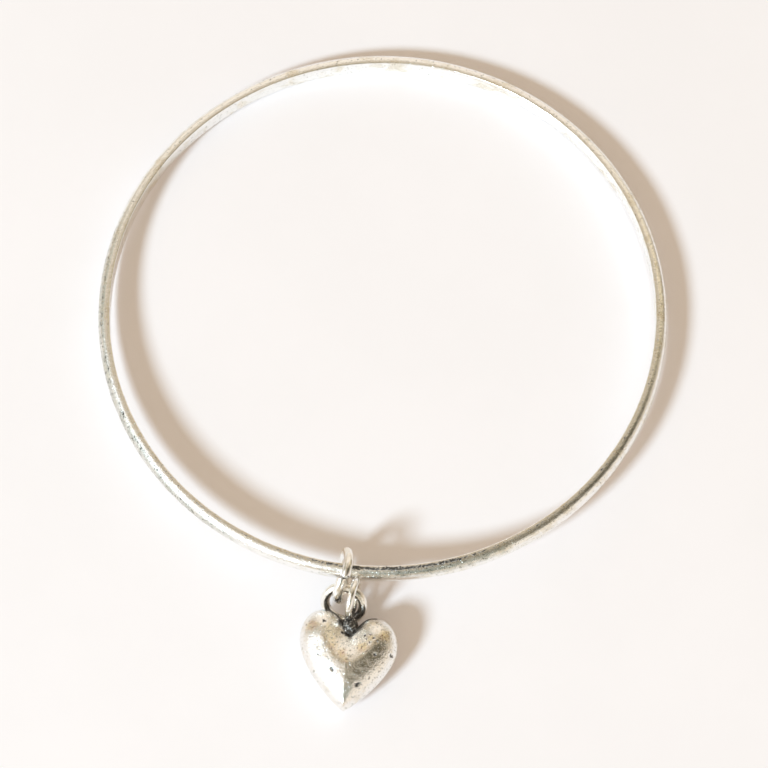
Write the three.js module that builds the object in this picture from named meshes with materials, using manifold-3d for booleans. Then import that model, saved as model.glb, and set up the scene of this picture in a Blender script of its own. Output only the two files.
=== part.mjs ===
// Heart charm bracelet: a closed silver bangle with a cast heart that hangs from it on three wire rings.
// Millimetres, +Z up. The bangle lies on a table with its near side (-Y) propped up by the charm's rings.

import * as THREE from "three";
import * as BufferGeometryUtils from "three/addons/utils/BufferGeometryUtils.js";
import Module from "manifold-3d";

const wasm = await Module();
wasm.setup();

// Bangle: one hoop of half-round wire, flat side inwards
const INNER_DIAMETER = 65;
const BAND_THICKNESS = 1.4;
const BAND_HEIGHT = 2.4;
const EDGE_FLAT = 0.2;
const DOME_FULLNESS = 2.3;
const BAND_SEGMENTS = 96;
const DOME_STEPS = 12;
const BANGLE_TILT = THREE.MathUtils.degToRad(2.3);

// The charm hangs on the near side, a little to the left of the middle
const CHARM_TURN = THREE.MathUtils.degToRad(7.5);

// Jump ring: hangs round the band, closed by hand, its cut ends side by side above the band
const JUMP_RING = { outer: 6.62, wire: 1.12, steps: 36, sides: 10 };
const JUMP_RING_CENTRE = [0.53, -0.06, 0.38];
const SEAM = {
  angle: THREE.MathUtils.degToRad(70),
  gap: THREE.MathUtils.degToRad(3),
  offset: -0.3,
  bend: 0.3,
  bendAngle: THREE.MathUtils.degToRad(217),
};

// Link ring: leans from the jump ring down towards the table
const LINK_RING = { outer: 5.6, wire: 1.08, steps: 32, sides: 10 };
const LINK_RING_CENTRE = [3.42, 0.3, -1.2];
const LINK_RING_FALL = THREE.MathUtils.degToRad(51);
const LINK_RING_ROLL = THREE.MathUtils.degToRad(7.4);

// Heart's bail: a soldered ring that stands upright in the cleft of the heart
const BAIL = { outer: 5.0, wire: 0.82, steps: 32, sides: 9 };
const BAIL_CENTRE = [3.21, 1.36, 0.8];
const BAIL_ROLL = THREE.MathUtils.degToRad(3);
const BAIL_TURN = THREE.MathUtils.degToRad(7);

// Heart: distances along its axis are measured from the band's middle line
const HEART = {
  cleft: 7.2,
  lobeTop: 4.7,
  lobeSpread: 2.85,
  lobeSlip: 0.05,
  widest: 8.1,
  halfWidth: 5.7,
  tip: 16.15,
  tipDrift: 0.4,
  halfThickness: 2.65,
  domeReach: 4.3,
  ridgeStart: 8.9,
  ridgeEnd: 15.2,
};
// How full the outline's curves are, as shares of the distances they span
const HEART_CURVE = {
  cleftRise: 0.9,
  cleftSpread: 0.8,
  lobeInside: 0.45,
  lobeOutside: 0.82,
  shoulder: 0.42,
  flank: 0.36,
  tipBack: 0.16,
  tipSpread: 0.36,
};
const HEART_SIDE_STEPS = 24;
const HEART_RINGS = 8;
const HEART_DIP = THREE.MathUtils.degToRad(2);
const HEART_ACROSS = 1.48;
const TABLE_GAP = 0.06;

// Lump of solder in the cleft, one with the heart and all but touching the bail
const SOLDER = { reach: [1.1, 0.72, 0.85], centre: [6.55, 1.25, -0.85], columns: 20, rows: 12 };

const SILVER = 0xd9d3c6;
const OLD_SILVER = 0xcfc6b3;

const innerRadius = INNER_DIAMETER / 2;
const bandRadius = innerRadius + BAND_THICKNESS / 2;
const bangleHeight =
  (innerRadius + EDGE_FLAT) * Math.sin(BANGLE_TILT) + (BAND_HEIGHT / 2) * Math.cos(BANGLE_TILT);
const bandHeightAtCharm = bangleHeight + bandRadius * Math.cos(CHARM_TURN) * Math.sin(BANGLE_TILT);

// Half-round section, as radius and height: flat inner face, narrow rims and a full dome outwards
function bandProfile() {
  const points = [new THREE.Vector2(innerRadius, BAND_HEIGHT / 2)];
  points.push(new THREE.Vector2(innerRadius, -BAND_HEIGHT / 2));
  const rim = innerRadius + EDGE_FLAT;
  for (let i = 0; i <= DOME_STEPS; i++) {
    const angle = -Math.PI / 2 + (Math.PI * i) / DOME_STEPS;
    const reach = Math.pow(Math.cos(angle), 2 / DOME_FULLNESS);
    const rise = Math.sign(angle) * Math.pow(Math.abs(Math.sin(angle)), 2 / DOME_FULLNESS);
    const out = Math.max(reach, 0) * (BAND_THICKNESS - EDGE_FLAT);
    points.push(new THREE.Vector2(rim + out, (rise * BAND_HEIGHT) / 2));
  }
  points.push(points[0].clone());
  return points;
}

// Lathe about the bangle's own axis, turned so that one flat facet faces +Y and one -Y
function bangleGeometry() {
  const geometry = new THREE.LatheGeometry(bandProfile(), BAND_SEGMENTS);
  geometry.rotateX(Math.PI / 2);
  geometry.rotateZ(Math.PI / BAND_SEGMENTS);
  return geometry;
}

// A ring of round wire in the XZ plane. An open ring starts and ends at its seam's angle and drifts
// sideways, so that its cut ends lie side by side, with a bend like a saddle's on top.
function ringGeometry({ outer, wire, steps, sides }, seam = null) {
  const wireRadius = wire / 2;
  const radius = outer / 2 - wireRadius;
  const turn = seam ? 2 * Math.PI - seam.gap : 2 * Math.PI;
  const start = seam ? seam.angle + seam.gap / 2 : 0;
  const rows = seam ? steps + 1 : steps;
  const positions = [];
  const indices = [];
  for (let i = 0; i < rows; i++) {
    const angle = start + (turn * i) / steps;
    const drift = seam ? seam.offset * (i / steps - 0.5) : 0;
    const side = seam ? drift + seam.bend * Math.cos(2 * angle - seam.bendAngle) : 0;
    for (let j = 0; j < sides; j++) {
      const around = (2 * Math.PI * j) / sides;
      const reach = radius + wireRadius * Math.cos(around);
      const across = side + wireRadius * Math.sin(around);
      positions.push(reach * Math.cos(angle), across, reach * Math.sin(angle));
    }
  }
  for (let i = 0; i < steps; i++) {
    const here = i * sides;
    const next = ((i + 1) % rows) * sides;
    for (let j = 0; j < sides; j++) {
      const k = (j + 1) % sides;
      indices.push(here + j, next + k, next + j, here + j, here + k, next + k);
    }
  }
  if (seam) {
    for (let j = 1; j < sides - 1; j++) {
      const last = steps * sides;
      indices.push(0, j + 1, j);
      indices.push(last, last + j, last + j + 1);
    }
  }
  const geometry = new THREE.BufferGeometry();
  geometry.setAttribute("position", new THREE.Float32BufferAttribute(positions, 3));
  geometry.setIndex(indices);
  return geometry;
}

// Right half of the heart's outline, from the bottom of the cleft over the lobe to the tip
function heartSide() {
  const { cleft, lobeTop, lobeSpread, widest, halfWidth, tip } = HEART;
  const curve = HEART_CURVE;
  const path = new THREE.CurvePath();
  const point = (x, y) => new THREE.Vector2(x, y);
  path.add(
    new THREE.CubicBezierCurve(
      point(cleft, 0),
      point(cleft - curve.cleftRise, curve.cleftSpread),
      point(lobeTop, curve.lobeInside * lobeSpread),
      point(lobeTop, lobeSpread),
    ),
  );
  path.add(
    new THREE.CubicBezierCurve(
      point(lobeTop, lobeSpread),
      point(lobeTop, curve.lobeOutside * halfWidth),
      point(lobeTop + curve.shoulder * (widest - lobeTop), halfWidth),
      point(widest, halfWidth),
    ),
  );
  path.add(
    new THREE.CubicBezierCurve(
      point(widest, halfWidth),
      point(widest + curve.flank * (tip - widest), halfWidth),
      point(tip - curve.tipBack * (tip - widest), curve.tipSpread * halfWidth),
      point(tip, 0),
    ),
  );
  return path.getSpacedPoints(HEART_SIDE_STEPS);
}

// The tip leans a little to one side
function leanOf(x) {
  const share = Math.max(0, (x - HEART.widest) / (HEART.tip - HEART.widest));
  return HEART.tipDrift * share * share;
}

// One lobe sits a little further out than the other; the shift dies away towards the tip
function slipOf(x, y) {
  return HEART.lobeSlip * y * Math.max(0, (HEART.tip - x) / (HEART.tip - HEART.lobeTop));
}

// Height of the puffed face over a point: it rises from the outline like a quarter of an ellipse
function puff(distance) {
  const inward = 1 - Math.min(distance, HEART.domeReach) / HEART.domeReach;
  return HEART.halfThickness * Math.sqrt(1 - inward * inward);
}

function distanceToOutline(x, y, side) {
  let least = Infinity;
  const segment = new THREE.Line3();
  const nearest = new THREE.Vector3();
  const here = new THREE.Vector3(x, Math.abs(y), 0);
  for (let i = 0; i < side.length - 1; i++) {
    segment.start.set(side[i].x, side[i].y, 0);
    segment.end.set(side[i + 1].x, side[i + 1].y, 0);
    segment.closestPointToPoint(here, true, nearest);
    least = Math.min(least, nearest.distanceTo(here));
  }
  return least;
}

// A puffed heart: rings shrink from the outline to the ridge line, and rise as they leave the outline
function heartGeometry() {
  const side = heartSide();
  const positions = [];
  const indices = [];
  const count = 2 * HEART_SIDE_STEPS;
  const outline = [];
  for (let i = 0; i < count; i++) {
    const right = i <= HEART_SIDE_STEPS;
    const step = right ? i : count - i;
    const ridge = THREE.MathUtils.lerp(HEART.ridgeStart, HEART.ridgeEnd, step / HEART_SIDE_STEPS);
    outline.push({ x: side[step].x, y: right ? side[step].y : -side[step].y, ridge });
  }
  for (const face of [1, -1]) {
    for (let ring = 0; ring <= HEART_RINGS; ring++) {
      const share = Math.cos((Math.PI / 2) * (ring / HEART_RINGS));
      for (const { x, y, ridge } of outline) {
        const along = THREE.MathUtils.lerp(ridge, x, share);
        const across = y * share;
        const rise = ring === 0 ? 0 : puff(distanceToOutline(along, across, side));
        positions.push(along + slipOf(along, across), across + leanOf(along), face * rise);
      }
    }
  }
  for (const face of [0, 1]) {
    const base = face * (HEART_RINGS + 1) * count;
    for (let ring = 0; ring < HEART_RINGS; ring++) {
      for (let i = 0; i < count; i++) {
        const a = base + ring * count + i;
        const b = base + ring * count + ((i + 1) % count);
        const c = b + count;
        const d = a + count;
        indices.push(...(face === 0 ? [a, c, b, a, d, c] : [a, b, c, a, c, d]));
      }
    }
  }
  const geometry = new THREE.BufferGeometry();
  geometry.setAttribute("position", new THREE.Float32BufferAttribute(positions, 3));
  geometry.setIndex(indices);
  return geometry;
}

// Merges shared vertices and drops the triangles that have shrunk to a line
function welded(geometry) {
  const bare = geometry.clone();
  bare.deleteAttribute("normal");
  bare.deleteAttribute("uv");
  const merged = BufferGeometryUtils.mergeVertices(bare, 1e-4);
  const index = merged.getIndex().array;
  const kept = [];
  for (let i = 0; i < index.length; i += 3) {
    const [a, b, c] = [index[i], index[i + 1], index[i + 2]];
    if (a !== b && b !== c && c !== a) kept.push(a, b, c);
  }
  merged.setIndex(kept);
  return merged;
}

function pieceOf(name, geometry, color, roughness) {
  const finished = welded(geometry);
  finished.computeVertexNormals();
  const mesh = new THREE.Mesh(finished, new THREE.MeshStandardMaterial({ color, roughness, metalness: 1 }));
  mesh.name = name;
  return mesh;
}

function solidOf(geometry) {
  const finished = welded(geometry);
  const vertProperties = new Float32Array(finished.getAttribute("position").array);
  const triVerts = new Uint32Array(finished.getIndex().array);
  return new wasm.Manifold(new wasm.Mesh({ numProp: 3, vertProperties, triVerts }));
}

function joined(first, second) {
  const mesh = solidOf(first).add(solidOf(second)).getMesh();
  const geometry = new THREE.BufferGeometry();
  geometry.setAttribute("position", new THREE.Float32BufferAttribute(mesh.vertProperties, 3));
  geometry.setIndex([...mesh.triVerts]);
  return geometry;
}

// Lies on the table under the bail, its tip a little lower than its lobes
function placedHeart() {
  const heart = heartGeometry();
  heart.rotateY(HEART_DIP);
  heart.computeBoundingBox();
  heart.translate(0, HEART_ACROSS, TABLE_GAP - bandHeightAtCharm - heart.boundingBox.min.z);
  const solder = new THREE.SphereGeometry(1, SOLDER.columns, SOLDER.rows);
  solder.scale(...SOLDER.reach);
  solder.translate(...SOLDER.centre);
  return joined(heart, solder);
}

// The charm's own frame: +X outwards from the bangle, +Y along the band, the origin in the band's section
function buildCharm() {
  const charm = new THREE.Group();
  charm.position.set(
    -bandRadius * Math.sin(CHARM_TURN),
    -bandRadius * Math.cos(CHARM_TURN) * Math.cos(BANGLE_TILT),
    bandHeightAtCharm,
  );
  charm.rotation.z = -Math.PI / 2 - CHARM_TURN;

  const jumpRing = pieceOf("jump_ring", ringGeometry(JUMP_RING, SEAM), SILVER, 0.25);
  jumpRing.position.set(...JUMP_RING_CENTRE);

  const linkRing = pieceOf("link_ring", ringGeometry(LINK_RING), SILVER, 0.25);
  linkRing.rotation.y = LINK_RING_FALL - Math.PI / 2;
  linkRing.position.set(...LINK_RING_CENTRE);
  linkRing.geometry.rotateZ(Math.PI / 2 - LINK_RING_ROLL);

  const bail = pieceOf("heart_bail", ringGeometry(BAIL), SILVER, 0.25);
  bail.rotation.set(BAIL_ROLL, 0, -BAIL_TURN);
  bail.position.set(...BAIL_CENTRE);

  const heart = pieceOf("heart", placedHeart(), OLD_SILVER, 0.3);
  charm.add(jumpRing, linkRing, bail, heart);
  return charm;
}

function buildBracelet() {
  const bracelet = new THREE.Group();
  const bangle = pieceOf("bangle", bangleGeometry(), SILVER, 0.3);
  bangle.rotation.x = -BANGLE_TILT;
  bangle.position.z = bangleHeight;
  bracelet.add(bangle, buildCharm());

  // The origin is under the middle of the whole bracelet, on the table
  bracelet.updateMatrixWorld(true);
  const box = new THREE.Box3().setFromObject(bracelet, true);
  const middle = box.getCenter(new THREE.Vector3());
  bracelet.position.set(-middle.x, -middle.y, -box.min.z);
  return bracelet;
}

export default buildBracelet();
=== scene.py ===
"""Looks of the heart charm bracelet: a worn silver bangle with a cast heart on three wire rings.

Lengths of the bracelet are millimetres, as in the part's source, and become metres when a mesh is made.
Lengths in the materials, the room and the camera's place are metres. Colours are linear.
"""

import math

import bpy
import numpy as np
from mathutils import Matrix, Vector


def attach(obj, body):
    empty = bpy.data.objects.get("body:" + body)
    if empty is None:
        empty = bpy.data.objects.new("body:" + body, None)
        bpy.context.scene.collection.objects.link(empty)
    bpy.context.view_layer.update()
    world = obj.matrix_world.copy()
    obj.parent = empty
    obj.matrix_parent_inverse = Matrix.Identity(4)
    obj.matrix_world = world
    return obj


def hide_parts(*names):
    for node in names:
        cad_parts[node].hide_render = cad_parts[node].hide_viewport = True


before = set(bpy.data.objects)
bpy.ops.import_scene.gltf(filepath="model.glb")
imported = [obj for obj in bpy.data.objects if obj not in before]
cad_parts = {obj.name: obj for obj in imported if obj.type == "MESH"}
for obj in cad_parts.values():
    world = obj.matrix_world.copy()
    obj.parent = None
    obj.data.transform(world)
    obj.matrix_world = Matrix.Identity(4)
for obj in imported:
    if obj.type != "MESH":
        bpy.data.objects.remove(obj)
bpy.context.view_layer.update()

MM = 0.001

# Bangle: half-round wire, flat side inwards, with its near side lifted by the tilt
INNER_RADIUS = 32.5
BAND_THICKNESS = 1.4
BAND_HEIGHT = 2.4
EDGE_FLAT = 0.2
DOME_FULLNESS = 2.3
BAND_CORNER = 0.12
BANGLE_TILT = math.radians(2.3)
BANGLE_CENTRE = np.array([0.0, 7.64118, 2.51064])
UNEVENNESS = 0.012
UNEVEN_DEPTHS = (0.4, 1.2)
BAND_SEGMENTS = 640
FLAT_STEPS = 12
CORNER_STEPS = 5
DOME_STEPS = 44

# Charm: its own frame has +X outwards from the bangle and +Y along the band
CHARM_TURN = math.radians(7.5)
CHARM_ORIGIN = np.array([-4.33347, -25.24827, 3.83162])
OUTWARD = np.array([-math.sin(CHARM_TURN), -math.cos(CHARM_TURN), 0.0])
ALONG = np.array([math.cos(CHARM_TURN), -math.sin(CHARM_TURN), 0.0])
UPWARD = np.array([0.0, 0.0, 1.0])

# Rings of round wire: diameter outside, diameter of the wire, centre in the charm's frame
JUMP_RING = {"outer": 6.67, "wire": 1.17, "centre": (0.53, -0.06, 0.38)}
LINK_RING = {"outer": 5.6, "wire": 1.08, "centre": (3.42, 0.3, -1.2)}
BAIL = {"outer": 5.0, "wire": 0.82, "centre": (3.21, 1.36, 0.8)}
LINK_RING_FALL = math.radians(51)
LINK_RING_ROLL = math.radians(7.4)
BAIL_ROLL = math.radians(3)
BAIL_TURN = math.radians(7)
RING_STEPS = 192
RING_SIDES = 32

# How far a ring's surface has to face inwards, of at most 1, to start to darken and to be dark
RING_INSIDE = (0.4, 0.95)
# for the painted shade on the inner half of the link ring's wire
RING_SHADED_HALF = (-0.15, 0.55)
BAIL_INSIDE = (0.2, 0.9)

# Cut of the jump ring, closed by hand: its ends are out of line and the ring is bent
SEAM = {
    "angle": math.radians(70),
    "gap": math.radians(3),
    "offset": -0.3,
    "bend": 0.3,
    "bend_angle": math.radians(217),
}

# Heart: cleft, lobe top, widest, tip and ridge are places along it, outwards from the charm's origin
HEART = {
    "cleft": 7.2,
    "lobe_top": 4.7,
    "lobe_spread": 2.85,
    "lobe_slip": 0.05,
    "widest": 8.1,
    "half_width": 5.7,
    "tip": 16.15,
    "tip_drift": 0.4,
    "half_thickness": 2.65,
    "dome_reach": 4.3,
    "ridge_start": 8.9,
    "ridge_end": 15.2,
    "ridge_round": 0.45,
}
# Handles of the outline's curves: that of the cleft in millimetres, the others as shares of its sizes
HEART_HANDLES = {
    "cleft": (0.9, 0.8),
    "lobe_in": 0.45,
    "lobe_out": 0.82,
    "shoulder": 0.42,
    "flank": 0.36,
    "tip_length": 0.16,
    "tip_width": 0.36,
}
CURVE_POINTS = 200
HEART_DIP = math.radians(2)
HEART_ACROSS = 1.48
TABLE_GAP = 0.06
HEART_SIDE_STEPS = 150
HEART_RINGS = 56
HEART_SMOOTHINGS = 10
RIDGE_BAND = (0.0, 1.6)
SMOOTHED_BAND = (0.5, 1.6)

# Lump of solder in the cleft: half sizes along, across and up, and centre
SOLDER = {"reach": (1.25, 1.02, 0.88), "centre": (6.32, 1.28, -0.8)}
SOLDER_ROWS = 56
SOLDER_COLUMNS = 80

# Casting pits of the upper face: along the heart, across it, radius, depth
PITS = [
    (6.34, -3.10, 0.17, 0.09),
    (11.75, -1.50, 0.16, 0.10),
    (12.05, -1.34, 0.15, 0.09),
    (13.28, 1.60, 0.20, 0.10),
    (13.05, 1.85, 0.12, 0.07),
    (9.60, 3.26, 0.22, 0.09),
    (9.22, 5.10, 0.19, 0.12),
    (7.43, 1.81, 0.16, 0.09),
    (7.69, 2.89, 0.15, 0.10),
    (8.25, 2.50, 0.14, 0.09),
    (7.85, 2.05, 0.11, 0.07),
    (7.30, 2.45, 0.12, 0.08),
    (8.05, 3.35, 0.10, 0.07),
    (7.25, -0.85, 0.13, 0.08),
    (10.4, -3.2, 0.14, 0.05),
]
PIT_SPREAD = 1.2

# Shallow dents of the upper face: along the heart, across it, radius, depth
DENTS = [
    (10.7, 2.25, 0.38, 0.045),
    (11.6, 1.80, 0.35, 0.040),
    (9.6, 2.95, 0.35, 0.035),
    (12.6, 0.95, 0.40, 0.035),
    (8.9, -3.40, 0.50, 0.040),
    (9.9, -2.20, 0.45, 0.030),
    (6.2, 2.60, 0.45, 0.035),
]

# Heights between which the dents set in, so that the outline stays whole
DENTED_HEIGHTS = (0.3, 0.9)

# Brown and golden stains of the upper face: along the heart, across it, reach, strength
STAINS = [
    (8.9, 1.7, 0.8, 0.95),
    (7.7, 2.5, 0.8, 0.70),
    (7.1, 4.1, 0.8, 0.90),
    (7.05, -4.4, 0.8, 0.95),
    (6.9, -1.4, 0.7, 0.40),
    (10.2, -0.5, 1.1, 0.70),
    (8.9, -1.9, 1.0, 0.60),
]

# Patina in the cleft of the heart: where it starts, narrows and is full, distances to the outline at which
# the lobes are dark and bare, the fringe above that, and the foot of the cleft: along, across, radius and
# strength
CLEFT = {"start": 8.1, "narrowing": 0.75, "full": 1.1}
LOW_SIDE = (0.1, 0.55)
FRINGE = {"reach": 0.8, "strength": 0.32}
FOOT = (7.3, -0.3, 0.4, 0.6)
PIT_PATINA = 0.9

# Flow is the space of the brushing: radius of the band and of a ring in it, and shares of the heart's length,
# width and height
BAND_FLOW = 4
RING_FLOW = 0.5
HEART_FLOW = (0.3, 1.0, 1.0)

# Waves of wear and lumps: length, seed, octaves
WIRE_WAVES = (9.0, 5, 3)
CLUMP_WAVES = (1.0, 21, 3)
PATINA_WAVES = (5.0, 8, 3)
SOLDER_LUMPS = (0.9, 12, 4)
SOLDER_GRAIN = (0.25, 3, 2)
SOLDER_PATINA = (0.7, 31, 3)

# Worn parts of the band, and the part with a painted dark reflection: direction in degrees from +X towards
# +Y, and the cosines of the angles from it at which each starts and is full
BAND_SECTORS = {
    "beside_charm": (-88, 0.92, 0.99),
    "painted_reflection_right_of_charm": (-80, 0.93, 0.985),
    "left_side": (-160, 0.62, 0.88),
}
GRIME_MIDDLE = math.radians(-72)

# Lines of grime on the band, and lines of painted shade low on the dome and beside the jump ring. Depth is
# measured outwards from its inner face, height from its middle.
GRIME = {"everywhere": 0.14, "near_charm": 0.27, "beside_charm": 0.52}
CLUMPS = {"sharpness": 1.5, "least": 0.35, "range": 0.65}
EDGE_LINE = {"depth": 0.38, "width": 0.15, "widening": 0.09, "below_top": 0.5}
# painted shade: a dark line low on the dome, stronger near the charm
UNDER_DOME_SHADE = {"height": -0.62, "width": 0.13, "from_depth": 0.5, "strength": 0.20, "near_charm": 0.35}
SHOULDER_LINE = {"depth": 0.90, "width": 0.22, "strength": 0.33}
# painted shade: a dark line on the dome beside the jump ring
JUMP_RING_SHADE = {"turn": math.radians(264.6), "width": 0.03, "from_depth": 0.2, "strength": 0.38}
INNER_FACE = {"to_depth": 0.05, "strength": 0.12}

# Dull film on the left side of the band, and a painted dark reflection on its dome right of the charm: depths
# and heights between which they set in, and strength
LEFT_FILM = {"depths": (0.6, 0.95), "heights": (-0.5, 0.1), "strength": 0.7}
# painted reflection: darkens the dome right of the charm like a reflection of a dark part of the room
RIGHT_PAINTED_REFLECTION = {"from_depth": 0.6, "heights": (0.30, 0.60), "strength": 0.6}

# Noises of the metal: scale per metre, or per unit of flow for the brushing, detail, roughness, distortion
NOISES = {
    "patches": (420, 4.0, 0.6, 0.4),
    "tint": (900, 2.0, 0.55, 0.0),
    "mottle": (1300, 3.0, 0.6, 0.0),
    "hammering": (1400, 2.0, 0.5, 0.0),
    "crust": (2600, 3.0, 0.6, 0.0),
    "flecks": (3000, 2.0, 0.5, 0.0),
    "specks": (3600, 2.0, 0.5, 0.0),
    "bare": (4400, 2.0, 0.55, 0.0),
    "grain": (5200, 3.0, 0.6, 0.0),
    "brushing": (7.0, 3.0, 0.6, 0.0),
}
# Values at which each mask of the metal starts and is full
LIMITS = {
    "streaks": (0.56, 0.68),
    "border": (0.02, 0.25),
    "patina_and_shade_mask": (0.40, 0.60),
    "bare": (0.58, 0.68),
    "blotches": (0.25, 0.85),
    "flecks": (0.66, 0.75),
    "tint": (0.42, 0.58),
}
# How much of the grit and the mottle goes into the border of the patina and into that of the stains
RAGGED = {"grit": 1.5, "mottle": 1.1}
BLOTCHED = 1.2
FLECKS_IN_STAIN = 0.12

# How much each layer of the metal covers what lies below it, how much rougher it is, and its share of the
# brightness of the tarnish or the film
COVER = {"tarnish": 0.6, "streaks": 0.30, "stain": 0.75, "specks": 0.55, "flecks": 0.85, "patina": 0.95}
ROUGHER = {"tarnish": 0.10, "grain": 0.30, "stain": 0.12, "patina": 0.35}
DARKER = {"streaks": 0.6, "specks": 0.35, "flecks": 0.35}
BARE_IN_PATINA = 0.45
# the black of patina, also used for painted shade
PATINA_AND_SHADE_BLACK = (0.03, 0.023, 0.016)
PATINA_DULLNESS = 0.5

# Relief of the metal that is too fine for the mesh
BRUSH_HEIGHT = 0.7
SPECK_HEIGHT = 0.5
CRUST_HEIGHT = 4.0
CRUST_LEVEL = 2.6
HAMMER_DEPTH = 0.00006
GRAIN_DEPTH = 0.00003
GRAIN_STRENGTH = 0.6

# Light and dark patches of the room that the metal mirrors: turn from +X towards +Y and rise above the
# table, angle within which the patch is full, angle at which it ends, colour. Later ones cover earlier ones.
ROOM_COLOR = (0.68, 0.59, 0.47)
ROOM_PATCHES = [
    ((88, 34), 28, 42, (0.97, 0.88, 0.77)),
    ((95, 72), 15, 26, (0.55, 0.46, 0.34)),
    ((38, 44), 8, 21, (0.84, 0.71, 0.48)),
    ((-5, 77), 9, 19, (0.25, 0.225, 0.165)),
    ((152, 36), 9, 23, (0.43, 0.42, 0.34)),
    ((-76, 45), 13, 24, (0.26, 0.29, 0.25)),
    ((-3, 51), 17, 27, (0.12, 0.105, 0.073)),
    ((27, 14), 7, 15, (0.27, 0.20, 0.11)),
    ((-42, 14), 22, 33, (0.94, 0.86, 0.76)),
    ((-158, 36), 27, 40, (1.35, 1.38, 1.42)),
]
# What the room gives to the floor and other matt surfaces, and the backdrop behind the floor
FILL_COLOR = (0.604, 0.503, 0.380)
BACKDROP_COLOR = (0.93, 0.905, 0.87)

WINDOW_SIZE = 0.44
WINDOW_POWER = 36.5
WINDOW_COLOR = (0.76, 0.95, 1.09)
WINDOW_DIRECTION = (-1.0, -0.95, 1.0)
WINDOW_DISTANCE = 2

FLOOR_HALF_SIZE = 3.0
FLOOR_NOISE = (35, 4.0, 0.6, 0.0)
FLOOR_MOTTLE = (0.35, 0.65)
FLOOR_COLORS = ((0.95, 0.907, 0.918), (0.966, 0.922, 0.934))
FLOOR_ROUGHNESS = 0.7
FLOOR_SPECULAR = 0.2

# Camera: high above the charm's side, with a long lens
CAMERA_AIM = (0.00015, -0.00137, 0.002)
CAMERA_DISTANCE = 0.45
CAMERA_ELEVATION = math.radians(70.2)
CAMERA_LENS = 177.9
SENSOR_WIDTH = 36
CLIP_START = 0.01


def smooth_step(values, low, high):
    """0 below low, 1 above high, and a smooth rise between them."""
    t = np.clip((values - low) / (high - low), 0, 1)
    return t * t * (3 - 2 * t)


def bell(values, centre, width):
    """1 at the centre, fading smoothly to 0 on both sides."""
    return np.exp(-(((values - centre) / width) ** 2))


def spot(flat, along, across, radius):
    """1 at a place on the heart, fading smoothly to 0 all round it."""
    return np.exp(-(((flat[:, 0] - along) ** 2 + (flat[:, 1] - across) ** 2) / radius**2))


def waves(points, scale, seed, octaves):
    """Smooth pseudo-random waves, the same on every run."""
    sines = 6
    rng = np.random.default_rng(seed)
    total = np.zeros(len(points))
    for octave in range(octaves):
        for _ in range(sines):
            direction = rng.normal(size=3)
            direction /= np.linalg.norm(direction)
            frequency = 2 * math.pi * 2**octave / scale * rng.uniform(0.7, 1.3)
            phase = rng.uniform(0, 2 * math.pi)
            total += np.sin(points @ direction * frequency + phase) / 2**octave
    return total / sines


def turn_x(points, angle):
    c, s = math.cos(angle), math.sin(angle)
    y = points[:, 1] * c - points[:, 2] * s
    z = points[:, 1] * s + points[:, 2] * c
    return np.stack([points[:, 0], y, z], axis=1)


def turn_y(points, angle):
    c, s = math.cos(angle), math.sin(angle)
    x = points[:, 0] * c + points[:, 2] * s
    z = -points[:, 0] * s + points[:, 2] * c
    return np.stack([x, points[:, 1], z], axis=1)


def turn_z(points, angle):
    c, s = math.cos(angle), math.sin(angle)
    x = points[:, 0] * c - points[:, 1] * s
    y = points[:, 0] * s + points[:, 1] * c
    return np.stack([x, y, points[:, 2]], axis=1)


def charm_to_world(points):
    return CHARM_ORIGIN + points[:, :1] * OUTWARD + points[:, 1:2] * ALONG + points[:, 2:3] * UPWARD


def bangle_to_world(points):
    return turn_x(points, -BANGLE_TILT) + BANGLE_CENTRE


def grid_faces(rows, cols, close_rows, close_cols, first=0):
    """Quads of a grid of points, row by row."""
    faces = []
    for i in range(rows if close_rows else rows - 1):
        for j in range(cols if close_cols else cols - 1):
            a = i * cols + j
            b = i * cols + (j + 1) % cols
            c = ((i + 1) % rows) * cols + (j + 1) % cols
            d = ((i + 1) % rows) * cols + j
            faces.append((first + a, first + b, first + c, first + d))
    return faces


def make_piece(name, points, faces, body, slot, material, node=None, flow=None, **masks):
    """Flow gives each point a place in millimetres in a space squeezed along the way the metal was rubbed."""
    mesh = bpy.data.meshes.new(name)
    mesh.from_pydata((points * MM).tolist(), [], faces)
    mesh.validate()
    mesh.shade_smooth()
    for key, values in masks.items():
        layer = mesh.attributes.new(key, "FLOAT", "POINT")
        layer.data.foreach_set("value", np.asarray(values, np.float32))
    if flow is not None:
        layer = mesh.attributes.new("flow", "FLOAT_VECTOR", "POINT")
        layer.data.foreach_set("vector", np.asarray(flow, np.float32).reshape(-1))
    mesh.materials.append(material)
    piece = bpy.data.objects.new(name, mesh)
    bpy.context.collection.objects.link(piece)
    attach(piece, body)
    if node:
        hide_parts(node)


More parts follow.
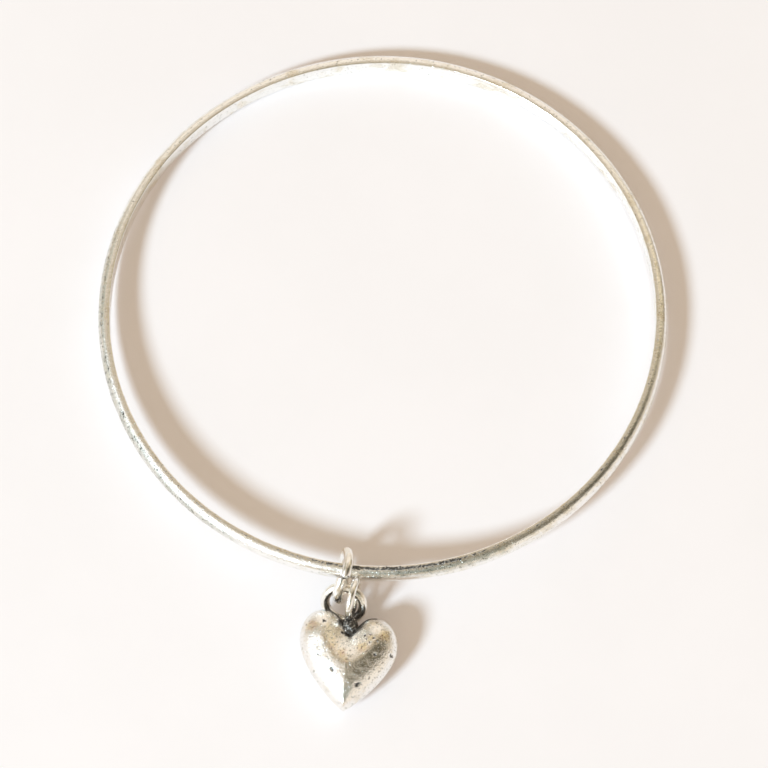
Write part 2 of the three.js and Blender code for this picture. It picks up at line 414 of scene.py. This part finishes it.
class Nodes:
    """Adds and links shader nodes. A value is a number, a colour or the output of another node."""

    # Sockets of a colour mix, which shares their names with its other data types
    MIX_SHARE, MIX_FIRST, MIX_SECOND, MIX_RESULT = 0, 6, 7, 2

    def __init__(self, tree):
        self.tree = tree
        tree.nodes.clear()

    def fill(self, socket, value):
        if isinstance(value, bpy.types.NodeSocket):
            self.tree.links.new(value, socket)
        else:
            socket.default_value = value

    def add(self, kind, output=0, inputs=None, **settings):
        node = self.tree.nodes.new(kind)
        for key, value in settings.items():
            setattr(node, key, value)
        for key, value in (inputs or {}).items():
            self.fill(node.inputs[key], value)
        return node.outputs[output] if node.outputs else node

    def math(self, operation, first, second, clamp=False):
        return self.add("ShaderNodeMath", operation=operation, use_clamp=clamp, inputs={0: first, 1: second})

    def plus(self, first, second, clamp=False):
        return self.math("ADD", first, second, clamp)

    def minus(self, first, second):
        return self.math("SUBTRACT", first, second)

    def times(self, first, second):
        return self.math("MULTIPLY", first, second)

    def ramp(self, value, low, high):
        """0 below low, 1 above high, and a smooth rise between them."""
        return self.add(
            "ShaderNodeMapRange",
            interpolation_type="SMOOTHSTEP",
            inputs={"Value": value, "From Min": low, "From Max": high},
        )

    def noise(self, vector, scale, detail, roughness, distortion):
        return self.add(
            "ShaderNodeTexNoise",
            inputs={
                "Vector": vector,
                "Scale": scale,
                "Detail": detail,
                "Roughness": roughness,
                "Distortion": distortion,
            },
        )

    def mix(self, share, first, second):
        """Colour between the first and the second."""
        node = self.tree.nodes.new("ShaderNodeMix")
        node.data_type = "RGBA"
        self.fill(node.inputs[self.MIX_SHARE], share)
        for index, value in ((self.MIX_FIRST, first), (self.MIX_SECOND, second)):
            self.fill(node.inputs[index], (*value, 1.0) if isinstance(value, tuple) else value)
        return node.outputs[self.MIX_RESULT]


def silver(name, metal, tarnish, film, tarnish_share, rough, speckle, dents, seed):
    """Worn silver: tarnish in patches, stains, black patina in recesses and painted shade, grain, specks and
    brushing.

    Film is the pair of tints of a stain, and of the band's painted dark reflection, speckle the strength of
    the grain and dents that of the hammering.
    """
    material = bpy.data.materials.new(name)
    material.use_nodes = True
    n = Nodes(material.node_tree)
    shift = (seed, 0.3 * seed, 0.7 * seed)
    place = n.add("ShaderNodeTexCoord", "Object")
    place = n.add("ShaderNodeVectorMath", operation="ADD", inputs={0: place, 1: shift})

    flow = n.add("ShaderNodeAttribute", "Vector", attribute_name="flow")
    patina = n.add("ShaderNodeAttribute", "Fac", attribute_name="patina")
    stain = n.add("ShaderNodeAttribute", "Fac", attribute_name="stain")
    noise = {key: n.noise(flow if key == "brushing" else place, *values) for key, values in NOISES.items()}
    patches = n.ramp(noise["patches"], 0.62 - tarnish_share, 0.74 - 0.5 * tarnish_share)
    specks = n.ramp(noise["specks"], 0.67 - 0.03 * speckle, 0.75 - 0.03 * speckle)
    streaks = n.ramp(noise["brushing"], *LIMITS["streaks"])

    # the patina ends in a ragged border, and a stain in blotches with dark flecks
    grit = n.minus(noise["grain"], 0.5)
    mottle = n.minus(noise["mottle"], 0.5)
    ragged = n.plus(n.times(grit, RAGGED["grit"]), n.times(mottle, RAGGED["mottle"]))
    ragged = n.times(ragged, n.ramp(patina, *LIMITS["border"]))
    # black mask: patina in recesses, and painted shade on the band and the link ring
    patina_and_shade_mask = n.ramp(n.plus(patina, ragged), *LIMITS["patina_and_shade_mask"])
    bare = n.ramp(noise["bare"], *LIMITS["bare"])
    blotches = n.ramp(n.plus(stain, n.times(mottle, BLOTCHED)), *LIMITS["blotches"])
    flecks = n.ramp(n.plus(noise["flecks"], n.times(stain, FLECKS_IN_STAIN)), *LIMITS["flecks"])
    flecks = n.times(flecks, blotches)
    tint = n.mix(n.ramp(noise["tint"], *LIMITS["tint"]), *film)

    streak_color = tuple(DARKER["streaks"] * c for c in tarnish)
    speck_color = tuple(DARKER["specks"] * c for c in tarnish)
    fleck_color = tuple(DARKER["flecks"] * c * c for c in film[1])
    color = n.mix(n.times(patches, COVER["tarnish"]), metal, tarnish)
    color = n.mix(n.times(streaks, COVER["streaks"]), color, streak_color)
    color = n.mix(n.times(blotches, COVER["stain"]), color, tint)
    color = n.mix(n.times(specks, COVER["specks"]), color, speck_color)
    color = n.mix(n.times(flecks, COVER["flecks"]), color, fleck_color)
    black = n.times(patina_and_shade_mask, n.minus(COVER["patina"], n.times(bare, BARE_IN_PATINA)))
    color = n.mix(black, color, PATINA_AND_SHADE_BLACK)

    roughness = n.plus(rough, n.times(patches, ROUGHER["tarnish"]))
    roughness = n.plus(roughness, n.times(grit, ROUGHER["grain"]))
    roughness = n.plus(roughness, n.times(blotches, ROUGHER["stain"]))
    roughness = n.plus(roughness, n.times(patina_and_shade_mask, ROUGHER["patina"]), clamp=True)
    metallic = n.minus(1.0, n.times(patina_and_shade_mask, PATINA_DULLNESS))

    crust = n.minus(n.times(noise["crust"], CRUST_HEIGHT), CRUST_LEVEL)
    height = n.plus(n.times(noise["grain"], speckle), n.times(noise["brushing"], BRUSH_HEIGHT))
    height = n.minus(height, n.times(specks, SPECK_HEIGHT * speckle))
    height = n.plus(height, n.times(patina_and_shade_mask, crust))
    hammered = n.add(
        "ShaderNodeBump", inputs={"Strength": dents, "Distance": HAMMER_DEPTH, "Height": noise["hammering"]}
    )
    grained = n.add(
        "ShaderNodeBump",
        inputs={"Strength": GRAIN_STRENGTH, "Distance": GRAIN_DEPTH, "Height": height, "Normal": hammered},
    )

    shader = n.add(
        "ShaderNodeBsdfPrincipled",
        inputs={"Base Color": color, "Metallic": metallic, "Roughness": roughness, "Normal": grained},
    )
    n.add("ShaderNodeOutputMaterial", inputs={"Surface": shader})
    return material


# tints of the band's dull film, also used for its painted dark reflection
DULL_FILM_AND_REFLECTION = ((0.62, 0.61, 0.53), (0.47, 0.48, 0.42))
GOLDEN_FILM = ((0.92, 0.80, 0.55), (0.78, 0.60, 0.47))
BAND_SILVER = silver(
    "silver_band",
    metal=(0.96, 0.95, 0.92),
    tarnish=(0.76, 0.68, 0.52),
    film=DULL_FILM_AND_REFLECTION,
    tarnish_share=0.12,
    rough=0.18,
    speckle=1.5,
    dents=0.40,
    seed=0.0,
)
RING_SILVER = silver(
    "silver_rings",
    metal=(0.96, 0.945, 0.91),
    tarnish=(0.82, 0.72, 0.54),
    film=GOLDEN_FILM,
    tarnish_share=0.20,
    rough=0.16,
    speckle=0.7,
    dents=0.30,
    seed=1.7,
)
HEART_SILVER = silver(
    "silver_heart",
    metal=(0.95, 0.93, 0.89),
    tarnish=(0.76, 0.66, 0.50),
    film=GOLDEN_FILM,
    tarnish_share=0.12,
    rough=0.12,
    speckle=2.1,
    dents=0.55,
    seed=4.1,
)


def band_profile():
    """Half-round section as radius and height, with the inner corners rubbed round."""
    half = BAND_HEIGHT / 2
    rim = INNER_RADIUS + EDGE_FLAT
    points = []
    for i in range(FLAT_STEPS + 1):
        points.append((INNER_RADIUS, (half - BAND_CORNER) * (1 - 2 * i / FLAT_STEPS)))
    corner = []
    for i in range(1, CORNER_STEPS + 1):
        angle = math.pi / 2 * i / CORNER_STEPS
        inset = BAND_CORNER * (1 - math.cos(angle))
        corner.append((INNER_RADIUS + inset, -half + BAND_CORNER * (1 - math.sin(angle))))
    points += corner
    for i in range(DOME_STEPS + 1):
        angle = -math.pi / 2 + math.pi * i / DOME_STEPS
        reach = max(math.cos(angle), 0.0) ** (2 / DOME_FULLNESS)
        rise = math.copysign(abs(math.sin(angle)) ** (2 / DOME_FULLNESS), math.sin(angle))
        points.append((rim + reach * (BAND_THICKNESS - EDGE_FLAT), rise * half))
    points += [(radius, -height) for radius, height in reversed(corner)]
    return np.array(points)


def band_wear(points, radius, height, turn):
    """Patina and stain at each point of the band; the patina carries painted shade and the stain a painted
    dark reflection.

    Grime sits along the upper inner edge, most of it near the charm and to its right. Shade is painted as a
    dark line low on the dome, stronger near the charm, and on the dome beside the jump ring. A dull film lies
    over the dome on the left side, and a dark reflection is painted over the dome right of the charm.
    """

    def sector(name):
        direction, start, full = BAND_SECTORS[name]
        return smooth_step(np.cos(turn - math.radians(direction)), start, full)

    depth = radius - INNER_RADIUS
    upper = height > 0
    beside_charm = sector("beside_charm")
    left = sector("left_side")
    near_charm = (0.5 + 0.5 * np.cos(turn - GRIME_MIDDLE)) ** 2
    clumps = 0.5 + 0.5 * np.clip(CLUMPS["sharpness"] * waves(points, *CLUMP_WAVES), -1, 1)
    clumps = CLUMPS["least"] + CLUMPS["range"] * clumps
    grime = GRIME["everywhere"] + GRIME["near_charm"] * near_charm
    grime = grime + GRIME["beside_charm"] * beside_charm * clumps

    edge = bell(depth, EDGE_LINE["depth"], EDGE_LINE["width"] + EDGE_LINE["widening"] * beside_charm)
    edge = edge * (height > 0.5 * BAND_HEIGHT - EDGE_LINE["below_top"])
    # painted shade: a dark line low on the dome
    under = bell(height, UNDER_DOME_SHADE["height"], UNDER_DOME_SHADE["width"])
    under = under * (radius > INNER_RADIUS + UNDER_DOME_SHADE["from_depth"])
    shoulder = bell(depth, SHOULDER_LINE["depth"], SHOULDER_LINE["width"]) * upper * left
    # painted shade on the dome beside the jump ring
    jump_ring_shade = bell(turn, JUMP_RING_SHADE["turn"], JUMP_RING_SHADE["width"]) * upper
    jump_ring_shade = jump_ring_shade * (radius > INNER_RADIUS + JUMP_RING_SHADE["from_depth"])
    patina = (
        edge * grime
        + under * (UNDER_DOME_SHADE["strength"] + UNDER_DOME_SHADE["near_charm"] * near_charm)
        + SHOULDER_LINE["strength"] * shoulder
        + JUMP_RING_SHADE["strength"] * jump_ring_shade
        + INNER_FACE["strength"] * (radius < INNER_RADIUS + INNER_FACE["to_depth"])
    )
    patina = np.clip(patina, 0, 1) * (0.9 + 0.2 * waves(points, *PATINA_WAVES))

    first, last = LEFT_FILM["depths"]
    left_film = left * smooth_step(radius, INNER_RADIUS + first, INNER_RADIUS + last)
    left_film = left_film * smooth_step(height, *LEFT_FILM["heights"])
    # painted reflection: the dome right of the charm is darkened like a dark reflection, carried in the stain
    right_painted_reflection = sector("painted_reflection_right_of_charm") * smooth_step(height, *RIGHT_PAINTED_REFLECTION["heights"])
    right_painted_reflection = right_painted_reflection * (radius > INNER_RADIUS + RIGHT_PAINTED_REFLECTION["from_depth"])
    stain = np.maximum(LEFT_FILM["strength"] * left_film, RIGHT_PAINTED_REFLECTION["strength"] * right_painted_reflection)
    return patina, stain


def make_bangle():
    """The band. Its wire is not quite even over the dome."""
    profile = band_profile()
    angles = 2 * math.pi * np.arange(BAND_SEGMENTS) / BAND_SEGMENTS
    turn = angles.repeat(len(profile))
    radius = np.tile(profile[:, 0], BAND_SEGMENTS)
    height = np.tile(profile[:, 1], BAND_SEGMENTS)
    points = np.stack([np.cos(turn) * radius, np.sin(turn) * radius, height], axis=1)
    outward = points * [1, 1, 0] / np.linalg.norm(points[:, :2], axis=1)[:, None]
    first, last = UNEVEN_DEPTHS
    dome = smooth_step(radius, INNER_RADIUS + first, INNER_RADIUS + last)
    points += outward * (UNEVENNESS * waves(points, *WIRE_WAVES) * dome)[:, None]
    patina, stain = band_wear(points, radius, height, turn)
    section = np.cumsum(np.linalg.norm(np.diff(profile, axis=0, prepend=profile[:1]), axis=1))
    flow = [BAND_FLOW * np.cos(turn), BAND_FLOW * np.sin(turn), np.tile(section, BAND_SEGMENTS)]
    make_piece(
        "bangle_band",
        bangle_to_world(points),
        grid_faces(BAND_SEGMENTS, len(profile), True, True),
        "bangle",
        "silver_band",
        BAND_SILVER,
        "bangle",
        np.stack(flow, axis=1),
        patina=patina,
        stain=stain,
    )


def ring_points(ring, seam=None):
    """A ring of round wire in the XZ plane about the origin.

    Gives its points, each point's angle round the ring, and how far it faces outwards, from -1 to 1.
    """
    wire = ring["wire"] / 2
    radius = ring["outer"] / 2 - wire
    rows = RING_STEPS + 1 if seam else RING_STEPS
    turn = 2 * math.pi - (seam["gap"] if seam else 0)
    start = seam["angle"] + seam["gap"] / 2 if seam else 0
    i = np.arange(rows)[:, None]
    around = (2 * math.pi * np.arange(RING_SIDES) / RING_SIDES)[None, :]
    angle = start + turn * i / RING_STEPS + 0 * around
    side = 0 * angle
    if seam:
        side = seam["offset"] * (i / RING_STEPS - 0.5) + seam["bend"] * np.cos(2 * angle - seam["bend_angle"])
    reach = radius + wire * np.cos(around) + 0 * angle
    points = np.stack([reach * np.cos(angle), side + wire * np.sin(around), reach * np.sin(angle)], axis=2)
    outside = np.cos(around) + 0 * angle
    return points.reshape(-1, 3), angle.reshape(-1), outside.reshape(-1)


def make_ring(name, ring, points, angle, outside, faces, body, node, patina):
    world = charm_to_world(points + ring["centre"])
    flow = np.stack([RING_FLOW * np.cos(angle), RING_FLOW * np.sin(angle), outside], axis=1)
    make_piece(name, world, faces, body, "silver_rings", RING_SILVER, node, flow, patina=patina)


def make_jump_ring():
    """Cut and closed by hand: dark in the cut, and a little at the inside."""
    points, angle, outside = ring_points(JUMP_RING, SEAM)
    faces = grid_faces(RING_STEPS + 1, RING_SIDES, False, True)
    faces.append(tuple(reversed(range(RING_SIDES))))
    faces.append(tuple(RING_STEPS * RING_SIDES + j for j in range(RING_SIDES)))
    from_seam = np.minimum(np.abs(angle - angle.min()), np.abs(angle - angle.max()))
    patina = 0.5 * bell(from_seam, 0, 0.05) + 0.15 * smooth_step(-outside, *RING_INSIDE)
    make_ring("jump_ring_wire", JUMP_RING, points, angle, outside, faces, "jump_ring", "jump_ring", patina)


def make_link_ring():
    """Leans back towards the band. It is darker inside, partly tarnish and partly a painted dark reflection,
    and darkest at its lower right, where shade is painted on the inner half of the wire.
    """
    points, angle, outside = ring_points(LINK_RING)
    points = turn_z(points, math.pi / 2 - LINK_RING_ROLL)
    points = turn_y(points, LINK_RING_FALL - math.pi / 2)
    faces = grid_faces(RING_STEPS, RING_SIDES, True, True)
    # darker inside: partly tarnish, partly a painted dark reflection
    patina = (0.20 - 0.16 * np.sin(angle)) * smooth_step(-outside, *RING_INSIDE)
    # painted shade on the inner half of the wire at the right
    right_side_shade = smooth_step(np.cos(angle + math.radians(25)), 0.55, 0.95)
    patina += 0.40 * right_side_shade * smooth_step(-outside, *RING_SHADED_HALF)
    make_ring("link_ring_wire", LINK_RING, points, angle, outside, faces, "link_ring", "link_ring", patina)


def make_bail():
    """Stands upright in the cleft, and is black where it is soldered."""
    points, angle, outside = ring_points(BAIL)
    points = turn_x(turn_z(points, -BAIL_TURN), BAIL_ROLL)
    faces = grid_faces(RING_STEPS, RING_SIDES, True, True)
    soldered = 0.5 + 0.5 * np.cos(angle + math.radians(35))
    patina = 0.9 * smooth_step(soldered, 0.86, 0.99) + 0.15 * smooth_step(-outside, *BAIL_INSIDE)
    make_ring("heart_bail_wire", BAIL, points, angle, outside, faces, "heart_charm", "heart_bail", patina)


def bezier(a, b, c, d):
    t = np.linspace(0, 1, CURVE_POINTS)[:, None]
    a, b, c, d = (np.array(p, float) for p in (a, b, c, d))
    return a * (1 - t) ** 3 + 3 * b * t * (1 - t) ** 2 + 3 * c * t**2 * (1 - t) + d * t**3


def heart_side(steps):
    """Right half of the outline, evenly spaced from the cleft over the lobe to the tip."""
    size, handle = HEART, HEART_HANDLES
    cleft, top, spread = size["cleft"], size["lobe_top"], size["lobe_spread"]
    widest, half, tip = size["widest"], size["half_width"], size["tip"]
    lobe = bezier(
        (cleft, 0),
        (cleft - handle["cleft"][0], handle["cleft"][1]),
        (top, handle["lobe_in"] * spread),
        (top, spread),
    )
    shoulder = bezier(
        (top, spread),
        (top, handle["lobe_out"] * half),
        (top + handle["shoulder"] * (widest - top), half),
        (widest, half),
    )
    flank = bezier(
        (widest, half),
        (widest + handle["flank"] * (tip - widest), half),
        (tip - handle["tip_length"] * (tip - widest), handle["tip_width"] * half),
        (tip, 0),
    )
    path = np.concatenate([lobe, shoulder, flank])
    length = np.concatenate([[0], np.cumsum(np.linalg.norm(np.diff(path, axis=0), axis=1))])
    even = np.linspace(0, length[-1], steps + 1)
    return np.stack([np.interp(even, length, path[:, k]) for k in (0, 1)], axis=1)


def distance_to(side, x, y):
    """Distance of points to the outline, as a chain of short straight lines."""
    start, step = side[:-1], np.diff(side, axis=0)
    squared = (step**2).sum(1)
    least = np.full(x.shape, np.inf)
    for a, d, length in zip(start, step, squared):
        t = np.clip(((x - a[0]) * d[0] + (y - a[1]) * d[1]) / max(length, 1e-12), 0, 1)
        least = np.minimum(least, (x - a[0] - t * d[0]) ** 2 + (y - a[1] - t * d[1]) ** 2)
    return np.sqrt(least)


def heart_relief():
    """Upper half of the heart, in rings from the outline to the ridge.

    Gives each point's place in the plane of the heart, its height over it, and its distance to the outline.
    """
    size, steps = HEART, HEART_SIDE_STEPS
    side = heart_side(steps)
    step = np.concatenate([np.arange(steps + 1), np.arange(steps - 1, 0, -1)])
    sign = np.where(np.arange(2 * steps) <= steps, 1.0, -1.0)
    outline = np.stack([side[step, 0], side[step, 1] * sign], axis=1)
    ridge = size["ridge_start"] + (size["ridge_end"] - size["ridge_start"]) * step / steps
    share = np.cos(math.pi / 2 * np.arange(HEART_RINGS + 1) / HEART_RINGS)[:, None]
    x = ridge + (outline[:, 0] - ridge) * share
    y = outline[:, 1] * share
    right, left = distance_to(side, x, y), distance_to(side, x, -y)
    distance = np.minimum(left, right)
    # the ridge where both flanks meet is rubbed round
    round_off = size["ridge_round"] * np.log1p(np.exp(-np.abs(left - right) / size["ridge_round"]))
    distance = distance - round_off * smooth_step(distance, *RIDGE_BAND)
    distance[0] = 0
    inward = 1 - np.minimum(distance, size["dome_reach"]) / size["dome_reach"]
    height = size["half_thickness"] * np.sqrt(1 - inward**2)
    weight = smooth_step(distance, *SMOOTHED_BAND)
    for _ in range(HEART_SMOOTHINGS):
        soft = height.copy()
        beside = height[:-2] + height[2:] + np.roll(height[1:-1], 1, 1) + np.roll(height[1:-1], -1, 1)
        soft[1:-1] = 0.25 * beside
        height = height + weight * (soft - height)
    towards_tip = np.maximum(0, (x - size["widest"]) / (size["tip"] - size["widest"]))
    towards_lobes = np.maximum(0, (size["tip"] - x) / (size["tip"] - size["lobe_top"]))
    lean = size["tip_drift"] * towards_tip**2
    slip = size["lobe_slip"] * y * towards_lobes
    flat = np.stack([x + slip, y + lean], axis=2).reshape(-1, 2)
    return flat, height.reshape(-1), distance.reshape(-1)


def make_heart():
    """The same relief on both sides, with the pits, dents and stains on the upper one."""
    flat, rise, distance = heart_relief()
    into_cleft = CLEFT["start"] - flat[:, 0] - CLEFT["narrowing"] * np.abs(flat[:, 1])
    cleft = smooth_step(into_cleft, 0.0, CLEFT["full"])
    low_side = 1 - smooth_step(distance, *LOW_SIDE)
    fringe = FRINGE["strength"] * bell(distance, 0, FRINGE["reach"]) * (1 - low_side)
    foot = FOOT[3] * spot(flat, *FOOT[:3])

    upper = rise.copy()
    pits = np.zeros(len(rise))
    for along, across, radius, depth in PITS:
        near = spot(flat, along, across, PIT_SPREAD * radius)
        upper -= depth * near * (upper > 0)
        pits += near
    for along, across, radius, depth in DENTS:
        upper -= depth * spot(flat, along, across, radius) * smooth_step(upper, *DENTED_HEIGHTS)
    stain = np.zeros(len(rise))
    for along, across, reach, strength in STAINS:
        stain = np.maximum(stain, strength * spot(flat, along, across, reach))

    blackened = cleft * (low_side + fringe) + foot
    patina = np.clip(np.concatenate([blackened + PIT_PATINA * pits, blackened]), 0, 1)
    stain = np.concatenate([stain, np.zeros(len(rise))])
    points = np.concatenate([np.column_stack([flat, upper]), np.column_stack([flat, -rise])])
    count = 2 * HEART_SIDE_STEPS
    faces = [tuple(reversed(face)) for face in grid_faces(HEART_RINGS + 1, count, False, True)]
    faces += grid_faces(HEART_RINGS + 1, count, False, True, first=len(rise))

    points = turn_y(points, HEART_DIP)
    flow = points * HEART_FLOW
    points[:, 1] += HEART_ACROSS
    points[:, 2] += TABLE_GAP - CHARM_ORIGIN[2] - points[:, 2].min()
    make_piece(
        "heart_body",
        charm_to_world(points),
        faces,
        "heart_charm",
        "silver_heart",
        HEART_SILVER,
        "heart",
        flow,
        patina=patina,
        stain=stain,
    )


def make_solder():
    """Blackened lump of solder that closes the bail to the heart, deep in the cleft."""
    polar = math.pi * (np.arange(SOLDER_ROWS) + 0.5) / SOLDER_ROWS
    turn = 2 * math.pi * np.arange(SOLDER_COLUMNS) / SOLDER_COLUMNS
    x = np.cos(polar)[:, None] + 0 * turn
    y = np.sin(polar)[:, None] * np.cos(turn)
    z = np.sin(polar)[:, None] * np.sin(turn)
    points = np.stack([x, y, z], axis=2).reshape(-1, 3)
    lumpy = 1 + 0.17 * waves(points, *SOLDER_LUMPS) + 0.05 * waves(points, *SOLDER_GRAIN)
    points = points * lumpy[:, None] * SOLDER["reach"] + SOLDER["centre"]
    last_row = (SOLDER_ROWS - 1) * SOLDER_COLUMNS
    faces = [tuple(reversed(face)) for face in grid_faces(SOLDER_ROWS, SOLDER_COLUMNS, False, True)]
    faces.append(tuple(range(SOLDER_COLUMNS)))
    faces.append(tuple(last_row + j for j in reversed(range(SOLDER_COLUMNS))))
    patina = np.clip(0.78 + 0.35 * waves(points, *SOLDER_PATINA), 0.35, 1)
    world = charm_to_world(points)
    make_piece("heart_solder", world, faces, "heart_charm", "silver_heart", HEART_SILVER, patina=patina)


def make_floor():
    size = FLOOR_HALF_SIZE
    corners = [(-size, -size, 0), (size, -size, 0), (size, size, 0), (-size, size, 0)]
    mesh = bpy.data.meshes.new("floor")
    mesh.from_pydata(corners, [], [(0, 1, 2, 3)])
    material = bpy.data.materials.new("paper")
    material.use_nodes = True
    n = Nodes(material.node_tree)
    place = n.add("ShaderNodeTexCoord", "Object")
    mottle = n.ramp(n.noise(place, *FLOOR_NOISE), *FLOOR_MOTTLE)
    color = n.mix(mottle, *FLOOR_COLORS)
    shader = n.add(
        "ShaderNodeBsdfPrincipled",
        inputs={"Base Color": color, "Roughness": FLOOR_ROUGHNESS, "Specular IOR Level": FLOOR_SPECULAR},
    )
    n.add("ShaderNodeOutputMaterial", inputs={"Surface": shader})
    mesh.materials.append(material)
    floor = bpy.data.objects.new("floor", mesh)
    bpy.context.collection.objects.link(floor)


def make_room():
    """A pale room: a bright window side on the left, darker patches on the right and overhead."""
    world = bpy.data.worlds.new("studio")
    world.use_nodes = True
    bpy.context.scene.world = world
    n = Nodes(world.node_tree)
    direction = n.add("ShaderNodeTexCoord", "Generated")
    color = ROOM_COLOR
    for towards, full, end, patch_color in ROOM_PATCHES:
        turn, rise = (math.radians(angle) for angle in towards)
        axis = (math.cos(turn) * math.cos(rise), math.sin(turn) * math.cos(rise), math.sin(rise))
        facing = n.add(
            "ShaderNodeVectorMath", "Value", operation="DOT_PRODUCT", inputs={0: direction, 1: axis}
        )
        share = n.ramp(facing, math.cos(math.radians(end)), math.cos(math.radians(full)))
        color = n.mix(share, color, patch_color)
    color = n.mix(n.add("ShaderNodeLightPath", "Is Glossy Ray"), FILL_COLOR, color)
    color = n.mix(n.add("ShaderNodeLightPath", "Is Camera Ray"), color, BACKDROP_COLOR)
    background = n.add("ShaderNodeBackground", inputs={"Color": color, "Strength": 1.0})
    n.add("ShaderNodeOutputWorld", inputs={"Surface": background})


def aim(direction):
    return Vector(direction).to_track_quat("-Z", "Y").to_euler()


def add_window_light():
    light = bpy.data.lights.new("window_light", "AREA")
    light.shape = "DISK"
    light.size = WINDOW_SIZE
    light.energy = WINDOW_POWER
    light.color = WINDOW_COLOR
    lamp = bpy.data.objects.new("window_light", light)
    towards = np.array(WINDOW_DIRECTION)
    towards /= np.linalg.norm(towards)
    lamp.location = towards * WINDOW_DISTANCE
    lamp.rotation_euler = aim(-towards)
    bpy.context.collection.objects.link(lamp)


def add_camera():
    camera = bpy.data.cameras.new("camera")
    camera.lens = CAMERA_LENS
    camera.sensor_width = SENSOR_WIDTH
    camera.clip_start = CLIP_START
    view = np.array([0.0, -math.cos(CAMERA_ELEVATION), math.sin(CAMERA_ELEVATION)])
    holder = bpy.data.objects.new("camera", camera)
    holder.location = np.array(CAMERA_AIM) + CAMERA_DISTANCE * view
    holder.rotation_euler = aim(-view)
    bpy.context.collection.objects.link(holder)
    bpy.context.scene.camera = holder


bpy.context.scene.view_settings.view_transform = "Standard"
make_bangle()
make_jump_ring()
make_link_ring()
make_bail()
make_heart()
make_solder()
make_floor()
make_room()
add_window_light()
add_camera()
